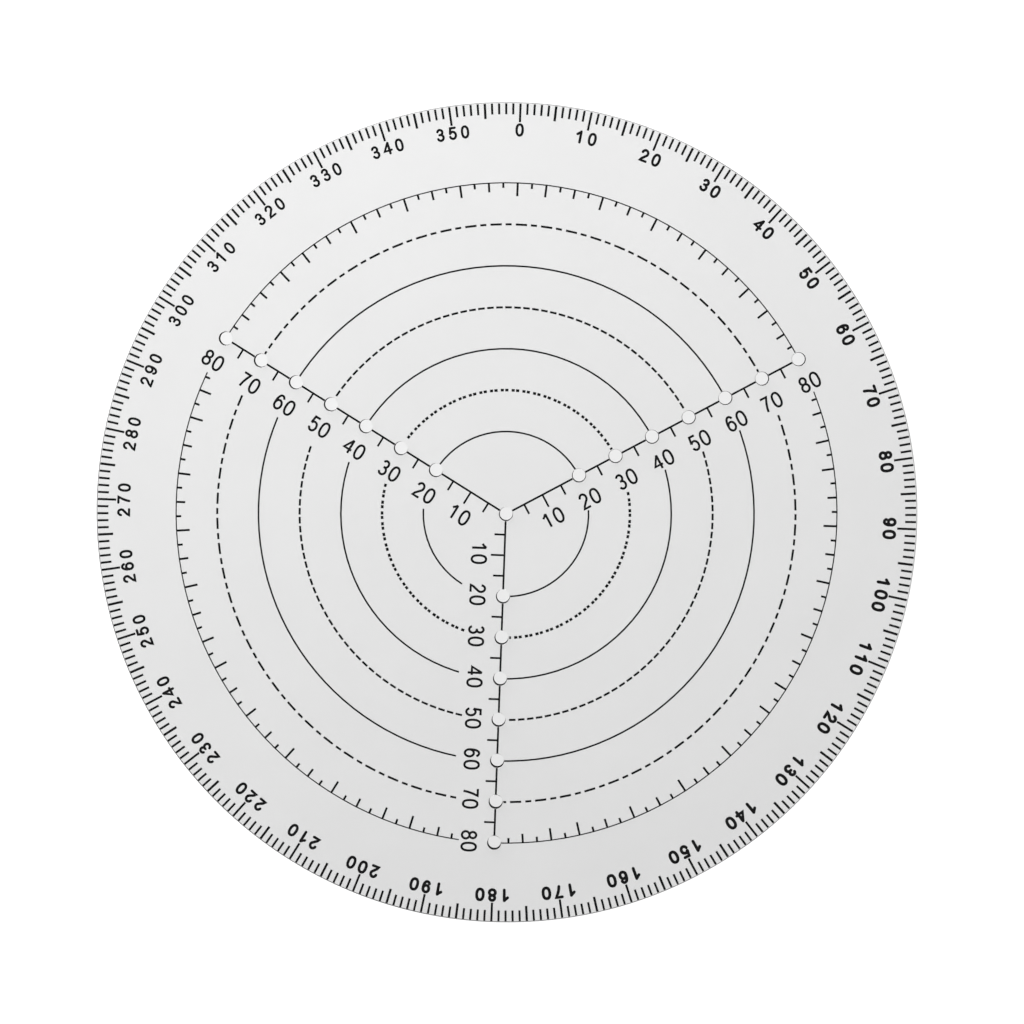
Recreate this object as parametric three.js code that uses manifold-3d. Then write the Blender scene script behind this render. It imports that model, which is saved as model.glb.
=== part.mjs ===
// Circle template: a round plate of clear acrylic with pencil holes on three spokes, and black printed marks.
// Millimetres. The plate lies on z = 0 with its centre on the z axis, and its 0 degree mark points along +y.
// Angles are bearings: degrees clockwise from +y, seen from above.
import * as THREE from 'three';
import { mergeVertices } from 'three/addons/utils/BufferGeometryUtils.js';
import Module from 'manifold-3d';

// The plate
const PLATE_RADIUS = 99.5; // at the underside
const PLATE_THICKNESS = 3;
const HOLE_RADIUS = 1.7; // at the printed face
const CUT_TAPER = 0.15; // cut edges slope: lower down, holes are this much narrower and the plate this much wider
const HOLE_REACHES = [20, 30, 40, 50, 60, 70, 80];
const SPOKES = { right: 60, lower: 180, left: 300 };

// The ink
const INK_THICKNESS = 0.04;
const INK_SETBACK = 0.03; // bare plate left between the ink and a hole's edge
const LINE_WIDTH = 0.48; // spoke lines and the ticks on them
const CIRCLE_WIDTH = 0.41;
const LAST_CIRCLE_WIDTH = 0.29;

// Ticks on the spoke lines, on the side that carries the numbers
const NUMBER_SIDE = { right: 1, lower: 1, left: -1 }; // 1 is the clockwise side
const SPOKE_TICKS = [5, 10, 15, 25, 35, 45, 55, 65, 75];
const NUMBERED_TICK = 10; // the one numbered reach that has no hole
const SPOKE_TICK_LENGTH = 2.6;
const NUMBERED_TICK_LENGTH = 3.3;

// Whole circles are broken at the holes and at the numbers beside the spokes
const WHOLE_CIRCLES = { 20: 5, 40: 4, 60: 3 }; // circle radius: degrees between its corners
const LAST_CIRCLE = HOLE_REACHES.at(-1);
const NUMBERS_END = { right: 8.5, lower: 10, left: 9.5 }; // from the spoke line to a whole circle
const LAST_NUMBERS_END = { right: 8.6, lower: 8.6, left: 9.3 };

// Sectors between the spokes, clockwise. The numbers stand in the right and left sectors.
const SECTOR_SPAN = 120;
const SECTORS = {
  upper: { from: 'left', to: 'right', numbersAtStart: false, numbersAtEnd: false },
  right: { from: 'right', to: 'lower', numbersAtStart: true, numbersAtEnd: false },
  left: { from: 'lower', to: 'left', numbersAtStart: true, numbersAtEnd: true },
};

// The last circle's inward ticks, by the angle past the spoke that its sector starts from
const LAST_TICK_STEP = 2.5;
const LAST_TICK_WIDTH = 0.52;
const HALF_STEP_TICK = 1.25;
const LAST_TICK_LENGTHS = [
  { length: 3.2, at: [15, 30, 40, 60, 75, 85, 105] },
  { length: 2.95, at: [20, 50, 65, 95, 110] },
];
const COMMON_TICK = 2.2;

// Facets
const PLATE_SIDES = 180;
const HOLE_SIDES = 20;
const SHORTEST_STEP = 0.2; // least share of a step that an arc's end facet may be
const DRILL_OVERRUN = 1; // past both faces

const wasm = await Module();
wasm.setup();

const radians = THREE.MathUtils.degToRad;
const degrees = THREE.MathUtils.radToDeg;

const acrylic = new THREE.MeshStandardMaterial({
  color: 0xe9ebeb, roughness: 0.08, metalness: 0, transparent: true, opacity: 0.35,
});
const ink = new THREE.MeshStandardMaterial({ color: 0x141414, roughness: 0.55, metalness: 0 });

// A point at a distance from the centre on a bearing, moved sideways towards the clockwise side
function polar(reach, bearing, sideways = 0) {
  const angle = radians(bearing);
  return new THREE.Vector2(
    reach * Math.sin(angle) + sideways * Math.cos(angle),
    reach * Math.cos(angle) - sideways * Math.sin(angle),
  );
}

function named(name, geometry, material) {
  const mesh = new THREE.Mesh(geometry, material.clone());
  mesh.name = name;
  return mesh;
}

// A flat layer of ink on the plate's upper face
function inkMark(name, outline) {
  const shape = new THREE.Shape(outline);
  const geometry = new THREE.ExtrudeGeometry(shape, { depth: INK_THICKNESS, bevelEnabled: false });
  geometry.translate(0, 0, PLATE_THICKNESS);
  return named(name, geometry, ink);
}

// An upright cylinder or cone as a solid that can be cut
function upright(centre, bottomRadius, topRadius, bottom, top, sides) {
  const geometry = new THREE.CylinderGeometry(topRadius, bottomRadius, top - bottom, sides);
  geometry.rotateX(Math.PI / 2).translate(centre.x, centre.y, (top + bottom) / 2);
  geometry.deleteAttribute('normal');
  geometry.deleteAttribute('uv');
  const closed = mergeVertices(geometry);
  return new wasm.Manifold(new wasm.Mesh({
    numProp: 3,
    vertProperties: closed.attributes.position.array,
    triVerts: Uint32Array.from(closed.index.array),
  }));
}

function plate() {
  const middle = new THREE.Vector2(0, 0);
  const centres = [middle];
  for (const bearing of Object.values(SPOKES)) {
    for (const reach of HOLE_REACHES) centres.push(polar(reach, bearing));
  }
  let solid = upright(middle, PLATE_RADIUS, PLATE_RADIUS - CUT_TAPER, 0, PLATE_THICKNESS, PLATE_SIDES);
  const [drillBottom, drillTop] = [-DRILL_OVERRUN, PLATE_THICKNESS + DRILL_OVERRUN];
  const drillRadius = (height) => HOLE_RADIUS - (CUT_TAPER * (PLATE_THICKNESS - height)) / PLATE_THICKNESS;
  for (const centre of centres) {
    const drill = upright(
      centre, drillRadius(drillBottom), drillRadius(drillTop), drillBottom, drillTop, HOLE_SIDES,
    );
    solid = solid.subtract(drill);
  }
  const cut = solid.getMesh();
  const geometry = new THREE.BufferGeometry();
  geometry.setAttribute('position', new THREE.BufferAttribute(cut.vertProperties, 3));
  geometry.setIndex(new THREE.BufferAttribute(cut.triVerts, 1));
  geometry.computeVertexNormals();
  return named('template_disc', geometry, acrylic);
}

// The corners of a tick that leaves a spoke line sideways, between the line's edge and its own end
function spokeTick(reach, bearing, side) {
  const length = reach === NUMBERED_TICK ? NUMBERED_TICK_LENGTH : SPOKE_TICK_LENGTH;
  const near = (side * LINE_WIDTH) / 2;
  const [start, end] = [reach - LINE_WIDTH / 2, reach + LINE_WIDTH / 2];
  return [
    polar(start, bearing, near),
    polar(start, bearing, side * length),
    polar(end, bearing, side * length),
    polar(end, bearing, near),
  ];
}

// The stretch of a spoke line between two neighbouring holes, with the ticks on it
function spokeLine(spoke, inner, outer) {
  const bearing = SPOKES[spoke];
  const side = NUMBER_SIDE[spoke];
  const half = LINE_WIDTH / 2;
  const start = inner + HOLE_RADIUS + INK_SETBACK;
  const end = outer - HOLE_RADIUS - INK_SETBACK;
  const ticks = SPOKE_TICKS.filter((reach) => reach > inner && reach < outer);
  const outline = [
    polar(start, bearing, -side * half),
    polar(start, bearing, side * half),
    ...ticks.flatMap((reach) => spokeTick(reach, bearing, side)),
    polar(end, bearing, side * half),
    polar(end, bearing, -side * half),
  ];
  return inkMark(`${spoke}_spoke_line_${inner}_${outer}`, outline);
}

// The bearing of the spoke that a sector starts from, below that of the spoke where it ends
function sectorStart({ from, to }) {
  return SPOKES[from] < SPOKES[to] ? SPOKES[from] : SPOKES[from] - 360;
}

// Bearings of an arc's two ends in a sector, clear of the holes and of the numbers
function arcEnds(radius, sector, numbersEnd) {
  const { from, to, numbersAtStart, numbersAtEnd } = SECTORS[sector];
  const besideHole = degrees(2 * Math.asin((HOLE_RADIUS + INK_SETBACK) / (2 * radius)));
  const besideNumber = (spoke) => degrees(Math.asin(numbersEnd[spoke] / radius));
  const start = sectorStart(SECTORS[sector]) + (numbersAtStart ? besideNumber(from) : besideHole);
  const end = SPOKES[to] - (numbersAtEnd ? besideNumber(to) : besideHole);
  return [start, end];
}

function arcPoints(radius, bearings) {
  return bearings.map((bearing) => polar(radius, bearing));
}

// Bearings from start to end, both included, with the whole steps between them
function stepsBetween(start, end, step) {
  const bearings = [start];
  const first = Math.ceil(start / step + SHORTEST_STEP);
  const last = Math.floor(end / step - SHORTEST_STEP);
  for (let i = first; i <= last; i += 1) bearings.push(i * step);
  bearings.push(end);
  return bearings;
}

function wholeCircleArc(radius, sector, step) {
  const [start, end] = arcEnds(radius, sector, NUMBERS_END);
  const bearings = stepsBetween(start, end, step);
  const outer = arcPoints(radius + CIRCLE_WIDTH / 2, bearings);
  const inner = arcPoints(radius - CIRCLE_WIDTH / 2, bearings.toReversed());
  return inkMark(`circle_${radius}_${sector}_arc`, [...outer, ...inner]);
}

function lastTickLength(pastSpoke) {
  if (pastSpoke % (2 * LAST_TICK_STEP) !== 0) return HALF_STEP_TICK;
  const longer = LAST_TICK_LENGTHS.find(({ at }) => at.includes(pastSpoke));
  return longer ? longer.length : COMMON_TICK;
}

// The last circle's inner edge from start to end, stepping inwards round each tick
function tickedEdge(sector, start, end) {
  const edge = LAST_CIRCLE - LAST_CIRCLE_WIDTH / 2;
  const origin = sectorStart(SECTORS[sector]);
  const half = LAST_TICK_WIDTH / 2;
  const margin = degrees(half / edge);
  const points = [polar(edge, start)];
  for (let past = LAST_TICK_STEP; past < SECTOR_SPAN; past += LAST_TICK_STEP) {
    const bearing = origin + past;
    if (bearing < start + margin || bearing > end - margin) continue;
    const tip = LAST_CIRCLE - lastTickLength(past);
    points.push(polar(edge, bearing, -half), polar(tip, bearing, -half));
    points.push(polar(tip, bearing, half), polar(edge, bearing, half));
  }
  points.push(polar(edge, end));
  return points;
}

function lastCircleArc(sector) {
  const [start, end] = arcEnds(LAST_CIRCLE, sector, LAST_NUMBERS_END);
  const bearings = stepsBetween(start, end, LAST_TICK_STEP);
  const outer = arcPoints(LAST_CIRCLE + LAST_CIRCLE_WIDTH / 2, bearings);
  const inner = tickedEdge(sector, start, end);
  return inkMark(`circle_${LAST_CIRCLE}_${sector}_ticked_arc`, [...outer, ...inner.toReversed()]);
}

const template = new THREE.Group();
template.add(plate());
for (const spoke of Object.keys(SPOKES)) {
  const stops = [0, ...HOLE_REACHES];
  for (let i = 1; i < stops.length; i += 1) template.add(spokeLine(spoke, stops[i - 1], stops[i]));
}
for (const sector of Object.keys(SECTORS)) {
  for (const [radius, step] of Object.entries(WHOLE_CIRCLES)) {
    template.add(wholeCircleArc(Number(radius), sector, step));
  }
  template.add(lastCircleArc(sector));
}

export default template;
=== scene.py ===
"""Circle template of clear acrylic with black printed scales, lying on white paper."""
import math

import bpy
from mathutils import Matrix, Vector
from mathutils.geometry import delaunay_2d_cdt


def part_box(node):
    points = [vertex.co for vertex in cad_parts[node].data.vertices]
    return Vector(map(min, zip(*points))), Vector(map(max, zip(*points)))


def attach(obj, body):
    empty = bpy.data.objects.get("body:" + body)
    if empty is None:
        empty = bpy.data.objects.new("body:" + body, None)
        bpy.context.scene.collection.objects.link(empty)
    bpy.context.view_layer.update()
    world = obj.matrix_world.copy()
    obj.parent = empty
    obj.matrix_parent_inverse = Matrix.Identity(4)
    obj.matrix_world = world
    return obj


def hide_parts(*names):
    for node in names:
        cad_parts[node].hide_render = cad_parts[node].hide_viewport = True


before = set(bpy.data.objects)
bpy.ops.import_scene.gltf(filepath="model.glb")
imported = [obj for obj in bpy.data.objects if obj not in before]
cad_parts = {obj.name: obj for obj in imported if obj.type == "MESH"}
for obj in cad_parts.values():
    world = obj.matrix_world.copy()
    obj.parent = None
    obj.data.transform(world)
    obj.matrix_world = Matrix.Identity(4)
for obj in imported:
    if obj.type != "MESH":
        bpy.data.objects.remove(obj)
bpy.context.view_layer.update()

MM = 0.001

# ---- Camera: straight down, leaning a little towards the spoke on the right ----

CAMERA_TARGET = Vector((1.46, 0.56, 3.0)) * MM
CAMERA_DISTANCE = 1.1
CAMERA_LEAN = 3.13  # degrees off vertical
CAMERA_BEARING = 27.0  # the side that it leans to
CAMERA_ROLL = -2.055
CAMERA_LENS = 159.8


def make_camera():
    lean, bearing, roll = map(math.radians, (CAMERA_LEAN, CAMERA_BEARING, CAMERA_ROLL))
    back = Vector((math.sin(lean) * math.sin(bearing), math.sin(lean) * math.cos(bearing), math.cos(lean)))
    level_up = (Vector((0, 1, 0)) - back * back.y).normalized()
    level_right = level_up.cross(back)
    up = level_up * math.cos(roll) + level_right * math.sin(roll)
    right = level_right * math.cos(roll) - level_up * math.sin(roll)
    camera = bpy.data.objects.new("camera", bpy.data.cameras.new("camera"))
    camera.data.lens = CAMERA_LENS
    camera.matrix_world = (
        Matrix.Translation(CAMERA_TARGET + back * CAMERA_DISTANCE)
        @ Matrix((right, up, back)).transposed().to_4x4()
    )
    bpy.context.scene.collection.objects.link(camera)
    bpy.context.scene.camera = camera


make_camera()

# ---- Sizes, in millimetres. Bearings are degrees clockwise from +Y ----

PLATE_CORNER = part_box("template_disc")[1] / MM
PLATE_TOP = PLATE_CORNER.z
PLATE_RADIUS = PLATE_CORNER.x  # at the underside
PLATE_SIDES = 720
HOLE_RADIUS = 1.7  # at the printed face
HOLE_SIDES = 72
CUT_TAPER = 0.15  # cut edges slope: lower down, holes are this much narrower and the plate this much wider
HOLE_REACHES = range(20, 81, 10)
SPOKES = {"right": 60, "lower": 180, "left": 300}
NUMBER_SIDE = {"right": 1, "lower": 1, "left": -1}  # 1 is the clockwise side
HOLE_ROUND = 0.03
RIM_ROUND = 0.12
EDGE_STEPS = 3
SMOOTH_UP_TO = 10  # degrees between two facets: smooth round a wall, but not from a wall onto a flat face
PAINTED_SHADE_BLEND = 0.3  # outwards from the plate's edge, from the painted shade under the plate to the plain paper: a painted contact shadow

INK_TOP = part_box("right_spoke_line_0_20")[1].z / MM

RIM_TICK_OUTER = 99.1
RIM_TICKS = {  # inner end and width
    "degree": (96.45, 0.53),
    "five_degree": (95.45, 0.59),
    "ten_degree": (94.6, 0.54),
}

RIM_NUMBER_REACH = 92.75
RIM_NUMBER_PITCH = 1.85  # degrees from one digit to the next
RIM_DIGIT_HALF = (0.79, 1.31)  # half width and half height of a digit's centre line
RIM_PEN = 0.565
HEAVY_BEARING = 130  # where the rim numbers are printed heaviest
HEAVY_PEN = 0.19
LIGHT_ZERO = 0.9  # a zero's share of a digit's width where the print is lightest
HEAVY_WIDENING = 0.14  # what that share gains where it is heaviest

SPOKE_NUMBER_OFFSET = 6.15  # from the spoke line
SPOKE_NUMBER_PITCH = 2.86
SPOKE_NUMBER_LEAD = 0.13  # further along its reading direction
SPOKE_NUMBER_REACH = -0.4
SPOKE_DIGIT_HALF = (0.935, 1.74)
SPOKE_PEN = 0.56
NUDGED_NUMBERS = {("right", 70): -0.4, ("lower", 70): -0.45, ("left", 80): 0.35}

# Dashed circles: period and dashes in degrees, from each sector's starting spoke
DASHES = {
    30: (5.0, ((0.58, 2.05), (2.62, 4.16)), 0.66),
    50: (2.5, ((0.25, 2.1),), 0.52),
    70: (5.0, ((-0.1, 2.15), (2.88, 4.1)), 0.52),
}
HOLE_CLEARANCE = 1.85
SHORTEST_DASH = 0.4
NUMBERS_REACH = {"right": 8.75, "lower": 8.75, "left": 9.1}  # bare strip beside a spoke line
SECTOR_SPAN = 120
# Each sector's spokes, clockwise, and whether numbers stand beside each one in it
SECTORS = {
    "upper": ("left", "right", False, False),
    "right": ("right", "lower", True, False),
    "left": ("lower", "left", True, True),
}


def polar(reach, bearing, sideways=0.0):
    """The point at a reach on a bearing, moved sideways towards the clockwise side."""
    angle = math.radians(bearing)
    return Vector((
        reach * math.sin(angle) + sideways * math.cos(angle),
        reach * math.cos(angle) - sideways * math.sin(angle),
    ))


# ---- Materials ----


def new_material(name):
    material = bpy.data.materials.new(name)
    material.use_nodes = True
    material.node_tree.nodes.clear()
    return material


def node(tree, kind, inputs=None, **settings):
    made = tree.nodes.new(kind)
    for key, value in settings.items():
        setattr(made, key, value)
    for key, value in (inputs or {}).items():
        if isinstance(value, bpy.types.NodeSocket):
            tree.links.new(value, made.inputs[key])
        else:
            made.inputs[key].default_value = value
    return made


def noise_value(tree, scale, detail=3.0, stretch=(1, 1, 1), turn=0.0, roughness=0.5):
    """Noise in the object's own space. The scale is in features a metre."""
    place = node(tree, "ShaderNodeTexCoord")
    mapping = node(tree, "ShaderNodeMapping", {
        "Vector": place.outputs["Object"], "Rotation": (0, 0, math.radians(turn)), "Scale": stretch,
    })
    made = node(tree, "ShaderNodeTexNoise", {
        "Vector": mapping.outputs["Vector"], "Scale": scale, "Detail": detail, "Roughness": roughness,
    })
    return made.outputs["Fac"]


def spread(tree, value, low, high, start=0.3, end=0.7):
    """Maps a noise value to a range."""
    made = node(tree, "ShaderNodeMapRange", {
        "Value": value, "From Min": start, "From Max": end, "To Min": low, "To Max": high,
    })
    return made.outputs["Result"]


def tones(tree, value, dark, light, start=0.3, end=0.7):
    """Maps a noise value to a colour."""
    ramp = node(tree, "ShaderNodeValToRGB", {"Fac": value})
    ramp.color_ramp.elements[0].position = start
    ramp.color_ramp.elements[0].color = (*dark, 1)
    ramp.color_ramp.elements[1].position = end
    ramp.color_ramp.elements[1].color = (*light, 1)
    return ramp.outputs["Color"]


def bumps(tree, height, depth, strength, under=None):
    inputs = {"Height": height, "Distance": depth, "Strength": strength}
    if under:
        inputs["Normal"] = under
    return node(tree, "ShaderNodeBump", inputs).outputs["Normal"]


def finish_material(tree, shader):
    output = node(tree, "ShaderNodeOutputMaterial")
    tree.links.new(shader.outputs[0], output.inputs["Surface"])


def clear_material(name, tint, passing, roughness, transmission=1.0, specular=0.5, cut=False):
    """Acrylic. Each face passes a share of the lamps' and bounced light. A cut face has upright stripes."""
    material = new_material(name)
    tree = material.node_tree
    haze = noise_value(tree, 45, 5)
    grain = noise_value(tree, 900, 2)
    normal = bumps(tree, grain, 2e-6, 0.25)
    if cut:
        stripes = noise_value(tree, 1600, 2, (1, 1, 0.04))
        normal = bumps(tree, stripes, 1e-5, 0.4, normal)
    else:
        for turn in (17, 74, 131):
            scratch = noise_value(tree, 260, 2, (1, 34, 1), turn)
            scratch = spread(tree, scratch, 0, 1, 0.66, 0.74)
            normal = bumps(tree, scratch, 2e-6, 0.2, normal)
    dark, light = tint
    glass = node(tree, "ShaderNodeBsdfPrincipled", {
        "Base Color": tones(tree, haze, (dark, dark, dark), (light, light, light)),
        "Roughness": spread(tree, haze, *roughness),
        "IOR": 1.49,
        "Specular IOR Level": specular,
        "Transmission Weight": transmission,
        "Normal": normal,
    })
    clear = node(tree, "ShaderNodeBsdfTransparent", {"Color": (passing, passing, passing, 1)})
    rays = node(tree, "ShaderNodeLightPath")
    through = node(tree, "ShaderNodeMath", operation="MAXIMUM")
    tree.links.new(rays.outputs["Is Shadow Ray"], through.inputs[0])
    tree.links.new(rays.outputs["Is Diffuse Ray"], through.inputs[1])
    mixed = node(tree, "ShaderNodeMixShader", {"Fac": through.outputs[0]})
    tree.links.new(glass.outputs[0], mixed.inputs[1])
    tree.links.new(clear.outputs[0], mixed.inputs[2])
    finish_material(tree, mixed)
    return material


def ink_material():
    """Screen-printed black: dense, semi-matte, a little uneven."""
    material = new_material("black_ink")
    tree = material.node_tree
    patches = noise_value(tree, 320, 4)
    grain = noise_value(tree, 6000, 3)
    shader = node(tree, "ShaderNodeBsdfPrincipled", {
        "Base Color": tones(tree, patches, (0.002, 0.002, 0.0022), (0.007, 0.007, 0.0075)),
        "Roughness": spread(tree, patches, 0.7, 0.85),
        "Specular IOR Level": 0.1,
        "Normal": bumps(tree, grain, 8e-6, 0.4),
    })
    finish_material(tree, shader)
    return material


def paper_material():
    """White paper, a little uneven in tone. Painted shade makes it duller where the plate covers it,
    standing in for the plate's shadow, and a painted contact shadow fades out close round its edge.
    """
    material = new_material("white_paper_painted_shade")
    tree = material.node_tree
    clouds = noise_value(tree, 6, 3)
    fibres = noise_value(tree, 1500, 4)
    place = node(tree, "ShaderNodeTexCoord")
    reach = node(tree, "ShaderNodeVectorMath", {0: place.outputs["Object"]}, operation="LENGTH")
    edge = PLATE_RADIUS * MM
    # Painted shade: the paper is 0.64 under the plate, for its shadow, and fades to 0.9 just past its edge
    # as a painted contact shadow
    outside = spread(tree, reach.outputs["Value"], 0, 1, edge, edge + PAINTED_SHADE_BLEND * MM)
    shade = node(tree, "ShaderNodeMath", {0: clouds, 1: 0.04, 2: outside}, operation="MULTIPLY_ADD")
    shader = node(tree, "ShaderNodeBsdfPrincipled", {
        "Base Color": tones(tree, shade.outputs[0], (0.64, 0.64, 0.64), (0.9, 0.9, 0.9), 0, 1),
        "Roughness": 0.9,
        "Specular IOR Level": 0.1,
        "Normal": bumps(tree, fibres, 1e-5, 0.2),
    })
    finish_material(tree, shader)
    return material


FACE = clear_material("acrylic_face", tint=(0.94, 0.96), passing=0.98, roughness=(0.015, 0.05))
# The pencil holes' cut walls are near black and opaque: painted shade for the dark crescents that the clear
# walls show inside the holes
HOLE_WALL_PAINTED_SHADE = clear_material(
    "acrylic_hole_wall_painted_shade", tint=(0.006, 0.02), passing=0.95, roughness=(0.4, 0.6),
    transmission=0.0, specular=0.0, cut=True,
)
# The plate's cut rim wall is dull dark grey and opaque: painted shade for the thin dark line round the
# plate's edge, which the lamps also light, more on one side
RIM_WALL_PAINTED_SHADE = clear_material(
    "acrylic_rim_wall_painted_shade", tint=(0.1, 0.25), passing=0.98, roughness=(0.4, 0.6),
    transmission=0.0, specular=0.0, cut=True,
)
INK = ink_material()


def let_light_past(mark):
    """The thin print doesn't shade the paper."""
    mark.visible_shadow = False
    mark.visible_diffuse = False


for name, cad_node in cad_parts.items():
    for place in cad_node.material_slots:
        place.material = FACE if name == "template_disc" else INK
    if name != "template_disc":
        let_light_past(cad_node)

# ---- Meshes ----

TRIANGLES_INSIDE = 1  # the triangulation's own number for keeping only what the edges enclose
INK_WELD = 1e-4  # millimetres
PLATE_WELD = 1e-5


def add_piece(name, points, faces, materials):
    """A mesh piece, riding on the plate. Points are in millimetres."""
    mesh = bpy.data.meshes.new(name)
    mesh.from_pydata([Vector(point) * MM for point in points], [], faces)
    mesh.validate()
    for material in materials:
        mesh.materials.append(material)
    piece = bpy.data.objects.new(name, mesh)
    bpy.context.scene.collection.objects.link(piece)
    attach(piece, "root")
    return piece


def anticlockwise(polygon):
    area = sum(a[0] * b[1] - b[0] * a[1] for a, b in zip(polygon, polygon[1:] + polygon[:1]))
    return polygon if area > 0 else polygon[::-1]


def inside(point, polygon):
    """Whether a point is in a polygon, by how many edges a level line from it crosses."""
    crossed = False
    for a, b in zip(polygon, polygon[1:] + polygon[:1]):
        if (a.y > point.y) != (b.y > point.y):
            if point.x < a.x + (b.x - a.x) * (point.y - a.y) / (b.y - a.y):
                crossed = not crossed
    return crossed


def middle_of(cell, flat):
    return sum((flat[i] for i in cell), Vector((0, 0))) / len(cell)


def add_ink(name, polygons):
    """One closed layer of ink over all the polygons, where they overlap too."""
    polygons = [[Vector(point) for point in anticlockwise(polygon)] for polygon in polygons]
    flat, outlines = [], []
    for polygon in polygons:
        outlines.append(list(range(len(flat), len(flat) + len(polygon))))
        flat += polygon
    flat, _, cells, _, _, _ = delaunay_2d_cdt(flat, [], outlines, TRIANGLES_INSIDE, INK_WELD)
    cells = [cell for cell in cells if any(inside(middle_of(cell, flat), polygon) for polygon in polygons)]
    count = len(flat)
    points = [(p.x, p.y, z) for z in (PLATE_TOP, INK_TOP) for p in flat]
    faces = [list(reversed(cell)) for cell in cells]
    faces += [[corner + count for corner in cell] for cell in cells]
    edges = {(a, b) for cell in cells for a, b in zip(cell, cell[1:] + cell[:1])}
    for a, b in sorted(edges):
        if (b, a) not in edges:
            faces.append([a, b, b + count, a + count])
    let_light_past(add_piece(name, points, faces, [INK]))


def circle(centre, radius, sides):
    steps = (2 * math.pi * i / sides for i in range(sides))
    return [centre + Vector((math.cos(a), math.sin(a))) * radius for a in steps]


def plate_levels(rounding):
    """Heights up a wall with rounded edges, and how far back from the wall each one is."""
    turns = [math.radians(90 * i / EDGE_STEPS) for i in range(EDGE_STEPS + 1)]
    lower = [(rounding * (1 - math.cos(a)), rounding * (1 - math.sin(a))) for a in turns]
    return lower + [(PLATE_TOP - height, back) for height, back in reversed(lower)]


def add_plate():
    """The round plate with its pencil holes, as one closed mesh with rounded edges."""
    holes = [Vector((0, 0))]
    holes += [polar(reach, bearing) for bearing in SPOKES.values() for reach in HOLE_REACHES]
    # Each wall's centre, radius at the underside, radius at the printed face, sides and way back from it
    loops = [(Vector((0, 0)), PLATE_RADIUS, PLATE_RADIUS - CUT_TAPER, PLATE_SIDES, -1)]
    loops += [(centre, HOLE_RADIUS - CUT_TAPER, HOLE_RADIUS, HOLE_SIDES, 1) for centre in holes]
    points, walls, bottom, top = [], [], [], []
    for centre, low_radius, high_radius, sides, inward in loops:
        levels = plate_levels(RIM_ROUND if inward < 0 else HOLE_ROUND)
        start = len(points)
        for height, back in levels:
            radius = low_radius + (high_radius - low_radius) * height / PLATE_TOP + inward * back
            points += [(p.x, p.y, height) for p in circle(centre, radius, sides)]
        for level in range(len(levels) - 1):
            low, high = start + level * sides, start + (level + 1) * sides
            for i in range(sides):
                j = (i + 1) % sides
                wall = [low + i, low + j, high + j, high + i]
                walls.append(wall if inward < 0 else wall[::-1])
        bottom += range(start, start + sides)
        top += range(start + (len(levels) - 1) * sides, start + len(levels) * sides)
    caps = plate_cap(points, top, loops, holes)
    faces = walls + [[top[i] for i in cell] for cell in caps]
    faces += [[bottom[i] for i in reversed(cell)] for cell in caps]
    materials = [FACE, HOLE_WALL_PAINTED_SHADE, RIM_WALL_PAINTED_SHADE]
    plate = add_piece("acrylic_plate", points, faces, materials)
    rim_faces = PLATE_SIDES * (2 * EDGE_STEPS + 1)
    middle = PLATE_TOP / 2
    for face in plate.data.polygons:
        wall = face.index < len(walls)
        face.use_smooth = wall
        if face.index < rim_faces:
            face.material_index = 2
        elif wall and abs(face.center.z / MM - middle) < middle - HOLE_ROUND:
            face.material_index = 1
    plate.data.set_sharp_from_angle(angle=math.radians(SMOOTH_UP_TO))
    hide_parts("template_disc")


def plate_cap(points, ring, loops, holes):
    """Triangles between the outer circle and the holes, as places in the ring."""
    flat = [Vector(points[i][:2]) for i in ring]
    edges, start = [], 0
    for _, _, _, sides, _ in loops:
        edges += [(start + i, start + (i + 1) % sides) for i in range(sides)]
        start += sides
    cells = delaunay_2d_cdt(flat, edges, [], TRIANGLES_INSIDE, PLATE_WELD)[2]

    def solid(cell):
        return all((middle_of(cell, flat) - hole).length > HOLE_RADIUS for hole in holes)

    return [anticlockwise_cell(cell, flat) for cell in cells if solid(cell)]


def anticlockwise_cell(cell, flat):
    a, b, c = (flat[i] for i in cell)
    return list(cell) if (b - a).cross(c - a) > 0 else list(reversed(cell))


add_plate()

# ---- Pen strokes ----

LONGEST_MITRE = 1.7  # as a share of half the pen's width
PEN_END_SIDES = 10


def ribbon(path, width, rounded):
    """Four-sided pieces along a path, mitred at its bends. A rounded pen leaves round ends."""
    path = [Vector(point) for point in path]
    closed = (path[0] - path[-1]).length < 1e-6
    count = len(path)
    offsets = []
    for i, point in enumerate(path):
        before = path[i - 1] if i else (path[-2] if closed else None)
        after = path[i + 1] if i < count - 1 else (path[1] if closed else None)
        sides = [(b - a).normalized() for a, b in ((before, point), (point, after)) if a and b]
        sides = [Vector((-side.y, side.x)) for side in sides]
        across = sum(sides, Vector((0, 0))).normalized()
        stretch = min(LONGEST_MITRE, 1 / max(0.1, across.dot(sides[0])))
        offsets.append(across * stretch * width / 2)
    pieces = []
    for i in range(count - 1):
        a, b, oa, ob = path[i], path[i + 1], offsets[i], offsets[i + 1]
        pieces.append([a - oa, b - ob, b + ob, a + oa])
    if rounded and not closed:
        pieces += [circle(end, width / 2, PEN_END_SIDES) for end in (path[0], path[-1])]
    return pieces


def arc(x, y, half_width, half_height, start, end, steps=10, square=1.0):
    """Points along an ellipse between two angles. A square under 1 fills its corners out."""
    points = []
    for i in range(steps + 1):
        angle = math.radians(start + (end - start) * i / steps)
        c, s = math.cos(angle), math.sin(angle)
        c = math.copysign(abs(c) ** square, c)
        s = math.copysign(abs(s) ** square, s)
        points.append((x + half_width * c, y + half_height * s))
    return points


SIX = [
    arc(0.02, 0.42, 0.82, 0.58, 20, 90, 5) + arc(0.02, -0.05, 0.93, 1.05, 90, 180, 8)[1:] + [(-0.91, -0.36)],
    arc(0, -0.37, 0.91, 0.63, 180, 540, 20),
]
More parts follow.
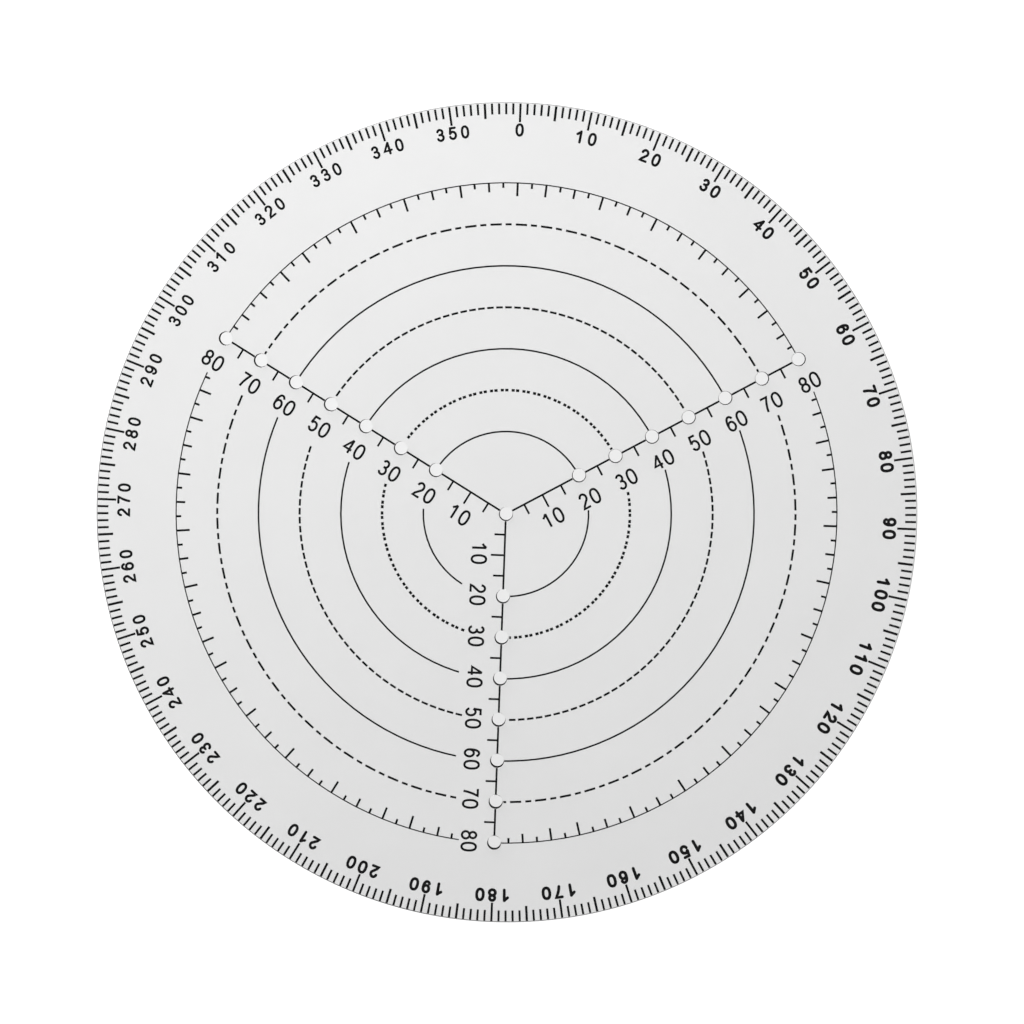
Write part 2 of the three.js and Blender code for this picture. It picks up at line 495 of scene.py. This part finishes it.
# Each digit's strokes, on a box from -1 to 1 both ways
DIGITS = {
    "0": [arc(0, 0, 1, 1, 90, 450, 28, 0.86)],
    "1": [[(-0.95, 0.45), (-0.42, 0.68), (0.1, 1.0)], [(0.1, 1.0), (0.1, -1.0)]],
    "2": [arc(-0.02, 0.43, 0.86, 0.57, 172, -30, 12) + [(-0.55, -0.62), (-0.9, -1.0), (0.9, -1.0)]],
    "3": [
        arc(-0.05, 0.53, 0.76, 0.47, 160, -78, 12) + [(-0.28, 0.06)],
        [(-0.28, 0.06)] + arc(-0.03, -0.46, 0.86, 0.54, 80, -162, 14),
    ],
    "4": [[(0.48, 1.0), (0.48, -1.0)], [(0.48, 1.0), (-1.08, -0.42), (1.1, -0.42)]],
    "5": [
        [(0.82, 1.0), (-0.58, 1.0), (-0.82, 0.0)],
        arc(-0.02, -0.35, 0.92, 0.65, 150, -160, 14),
    ],
    "6": SIX,
    "7": [[(-0.9, 1.0), (0.9, 1.0), (0.32, 0.28), (-0.08, -0.4), (-0.28, -1.0)]],
    "8": [arc(0, 0.53, 0.8, 0.47, 270, 630, 18), arc(0, -0.47, 0.94, 0.53, 90, 450, 20)],
    "9": [[(-x, -y) for x, y in path] for path in SIX],
}


def digit(character, half, pen, rounded, centre, upward):
    """A digit's pieces round a centre, with its top on a bearing."""
    up = polar(1, upward)
    right = polar(1, upward + 90)
    pieces = []
    for path in DIGITS[character]:
        sized = [(x * half[0], y * half[1]) for x, y in path]
        for piece in ribbon(sized, pen, rounded):
            pieces.append([centre + right * point.x + up * point.y for point in piece])
    return pieces


# ---- The scale round the rim ----


def bar(inner, outer, bearing, width):
    """A tick along a bearing."""
    half = width / 2
    return [polar(inner, bearing, -half), polar(inner, bearing, half),
            polar(outer, bearing, half), polar(outer, bearing, -half)]


def rim_tick_kind(bearing):
    if bearing % 10 == 0:
        return "ten_degree"
    return "five_degree" if bearing % 5 == 0 else "degree"


def add_rim_ticks():
    for kind, (inner, width) in RIM_TICKS.items():
        bearings = [b for b in range(360) if rim_tick_kind(b) == kind]
        add_ink(f"rim_{kind}_ticks", [bar(inner, RIM_TICK_OUTER, b, width) for b in bearings])


def add_rim_number(value):
    """Digits along the rim with their tops outward, printed heavier on one side of the plate."""
    text = str(value)
    heavy = 0.5 + 0.5 * math.cos(math.radians(value - HEAVY_BEARING))
    pen = RIM_PEN + HEAVY_PEN * heavy
    pieces = []
    for i, character in enumerate(text):
        bearing = value + (i - (len(text) - 1) / 2) * RIM_NUMBER_PITCH
        wide = RIM_DIGIT_HALF[0]
        if character == "0":
            wide *= LIGHT_ZERO + HEAVY_WIDENING * heavy
        centre = polar(RIM_NUMBER_REACH, bearing)
        pieces += digit(character, (wide, RIM_DIGIT_HALF[1]), pen, True, centre, bearing)
    add_ink(f"rim_number_{value:03d}", pieces)


add_rim_ticks()
for value in range(0, 360, 10):
    add_rim_number(value)

# ---- Numbers beside the spokes, and the dashed circles ----


def add_spoke_number(spoke, value):
    """Two digits beside a spoke line, with their tops towards it."""
    bearing, side = SPOKES[spoke], NUMBER_SIDE[spoke]
    reach = value + SPOKE_NUMBER_REACH + NUDGED_NUMBERS.get((spoke, value), 0)
    pieces = []
    for character, place in zip(str(value), (-0.5, 0.5)):
        along = side * (place * SPOKE_NUMBER_PITCH + SPOKE_NUMBER_LEAD)
        centre = polar(reach + along, bearing, side * SPOKE_NUMBER_OFFSET)
        pieces += digit(character, SPOKE_DIGIT_HALF, SPOKE_PEN, False, centre, bearing - 90 * side)
    add_ink(f"{spoke}_spoke_number_{value}", pieces)


for spoke in SPOKES:
    for value in range(10, 81, 10):
        add_spoke_number(spoke, value)


def beside_numbers(radius, angle, spoke):
    """Whether a point on a circle, at an angle past a spoke line, is in the strip of its numbers."""
    return radius * math.sin(math.radians(angle)) < NUMBERS_REACH[spoke]


def sector_dashes(radius, sector):
    """Start and end bearings of the dashes in a sector."""
    first, last, numbers_at_start, numbers_at_end = SECTORS[sector]
    period, dashes, _ = DASHES[radius]
    clear = math.degrees(2 * math.asin(HOLE_CLEARANCE / 2 / radius))
    shortest = math.degrees(SHORTEST_DASH / radius)
    for repeat in range(round(SECTOR_SPAN / period) + 1):
        for start, end in dashes:
            start, end = (
                max(clear, min(SECTOR_SPAN - clear, repeat * period + edge)) for edge in (start, end)
            )
            if end - start < shortest:
                continue
            if numbers_at_start and beside_numbers(radius, start, first):
                continue
            if numbers_at_end and beside_numbers(radius, SECTOR_SPAN - end, last):
                continue
            yield SPOKES[first] + start, SPOKES[first] + end


def dash(radius, start, end, width):
    inner, outer = radius - width / 2, radius + width / 2
    return [polar(inner, start), polar(inner, end), polar(outer, end), polar(outer, start)]


for radius, (_, _, width) in DASHES.items():
    for sector in SECTORS:
        arcs = [dash(radius, start, end, width) for start, end in sector_dashes(radius, sector)]
        add_ink(f"circle_{radius}_{sector}_dashes", arcs)

# ---- Paper, light and world ----

FLOOR_HALF = 12.0
FLOOR_DROP = 5e-5
DIMMING_HEIGHTS = (0.6, 0.85)  # where the studio starts and ends dimming, as the sine of the elevation


def add_floor():
    corners = [(-1, -1), (1, -1), (1, 1), (-1, 1)]
    mesh = bpy.data.meshes.new("paper")
    mesh.from_pydata([(x * FLOOR_HALF, y * FLOOR_HALF, -FLOOR_DROP) for x, y in corners], [], [(0, 1, 2, 3)])
    mesh.materials.append(paper_material())
    floor = bpy.data.objects.new("paper", mesh)
    bpy.context.scene.collection.objects.link(floor)


def add_window(bearing, off_vertical, distance, width, height, power):
    """A soft rectangular light that faces the template's centre from one side."""
    lamp = bpy.data.lights.new("window", "AREA")
    lamp.shape = "RECTANGLE"
    lamp.size, lamp.size_y = width, height
    lamp.energy = power
    light = bpy.data.objects.new("window", lamp)
    flat = polar(math.sin(math.radians(off_vertical)), bearing)
    towards = Vector((flat.x, flat.y, math.cos(math.radians(off_vertical))))
    light.matrix_world = (
        Matrix.Translation(towards * distance) @ towards.to_track_quat("Z", "Y").to_matrix().to_4x4()
    )
    bpy.context.scene.collection.objects.link(light)


def add_world(low_strength, high_strength):
    """A pale studio, bright all round and dimmer overhead."""
    world = bpy.data.worlds.new("studio")
    bpy.context.scene.world = world
    world.use_nodes = True
    tree = world.node_tree
    place = node(tree, "ShaderNodeTexCoord")
    split = node(tree, "ShaderNodeSeparateXYZ", {"Vector": place.outputs["Generated"]})
    strength = spread(tree, split.outputs["Z"], low_strength, high_strength, *DIMMING_HEIGHTS)
    background = tree.nodes["Background"]
    background.inputs["Color"].default_value = (1, 1, 1, 1)
    tree.links.new(strength, background.inputs["Strength"])


add_floor()
add_window(bearing=-25, off_vertical=55, distance=0.95, width=1.3, height=0.6, power=17.5)
add_world(low_strength=0.9, high_strength=0.19)
bpy.context.scene.view_settings.view_transform = "Standard"
